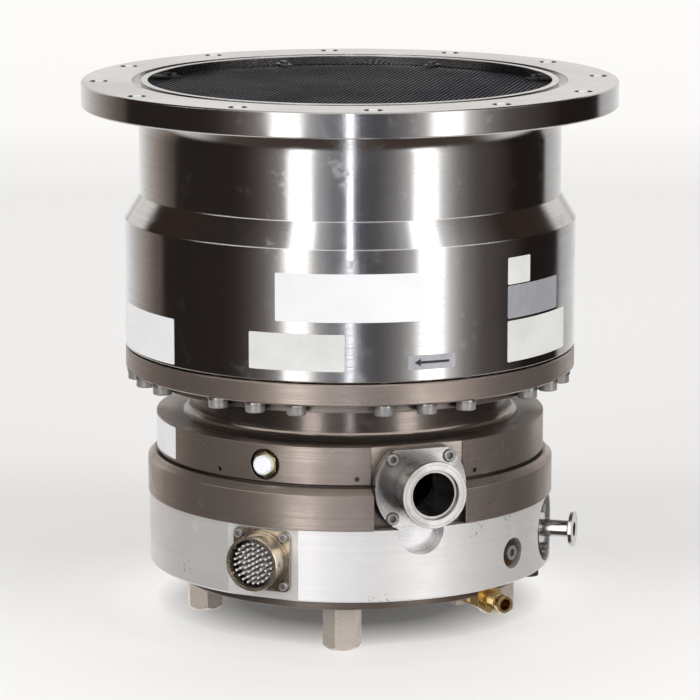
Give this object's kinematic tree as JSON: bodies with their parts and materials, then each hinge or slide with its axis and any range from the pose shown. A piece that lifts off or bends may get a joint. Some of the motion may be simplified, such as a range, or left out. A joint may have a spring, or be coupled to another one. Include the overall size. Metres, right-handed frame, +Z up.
{
  "type": "turbomolecular vacuum pump",
  "caption": "Floor-standing turbomolecular vacuum pump: steel casing with bolted inlet flange and screen over a bladed magnetically levitated rotor, with side exhaust, on a housing with feet.",
  "frame": {"origin": "on the floor, on the rotor axis, midway under the feet", "axes": "+Z up along the rotor axis to the inlet; -Y is the front with the exhaust port and the connector; +X is the viewer's right"},
  "size_m": [0.4499, 0.45, 0.458],
  "materials": {
    "stainless": "brushed and polished stainless steel",
    "nickel_iron": "satin nickel plated",
    "aluminium": "fine turned",
    "brass": "turned",
    "screw_steel": "plain zinc",
    "black_steel": "black, dull",
    "seal_rubber": "dull",
    "black_plastic": "dull",
    "white_plastic": "smooth",
    "core_steel": "laminated",
    "copper_coils": "varnished copper wire"
  },
  "bodies": {
    "pump": {"casing": "stainless", "vacuum_seals": "seal_rubber", "screen_frame": "black_steel", "screen_mesh": "black_steel", "screen_screws": "screw_steel", "stator_blades_1": "aluminium", "stator_blades_2": "aluminium", "stator_blades_3": "aluminium", "stator_blades_4": "aluminium", "stator_blades_5": "aluminium", "stator_blades_6": "aluminium", "stator_blades_7": "aluminium", "spacer_rings": "stainless", "threaded_stator": "aluminium", "base_housing": "nickel_iron", "casing_bolts": "screw_steel", "casing_bolt_washers": "screw_steel", "motor_column": "aluminium", "column_screws": "screw_steel", "upper_touchdown_bearing": "stainless", "lower_touchdown_bearing": "stainless", "position_sensors": "copper_coils", "upper_radial_magnet": "core_steel", "lower_radial_magnet": "core_steel", "magnet_coils": "copper_coils", "motor_stator": "core_steel", "motor_windings": "copper_coils", "upper_axial_magnet": "core_steel", "lower_axial_magnet": "core_steel", "column_end_cap": "aluminium", "base_ring": "aluminium", "base_ring_screws": "screw_steel", "bottom_cover": "nickel_iron", "bottom_cover_screws": "screw_steel", "exhaust_port": "stainless", "exhaust_port_screws": "screw_steel", "purge_port": "stainless", "purge_port_screws": "screw_steel", "connector_shell": "nickel_iron", "connector_insert": "black_plastic", "connector_pins": "brass", "connector_screws": "screw_steel", "foot_front": "nickel_iron", "foot_left": "nickel_iron", "foot_rear": "nickel_iron", "foot_right": "nickel_iron", "water_blocks": "screw_steel", "water_fittings": "brass", "vent_fitting": "brass", "vent_cap": "white_plastic", "service_plug": "screw_steel", "grub_screws": "screw_steel", "drain_plug": "seal_rubber"},
    "rotor": {"rotor": "aluminium", "rotor_shaft": "stainless", "rotor_bolts": "screw_steel", "motor_magnet_sleeve": "core_steel", "bearing_sleeves": "core_steel", "thrust_disc": "stainless", "thrust_nut": "screw_steel"}
  },
  "joints": [
    {"name": "rotor_spin", "type": "hinge", "parent": "pump", "child": "rotor", "pos_m": [0, 0, 0.3], "axis": [0, 0, 1], "continuous": true}
  ]
}
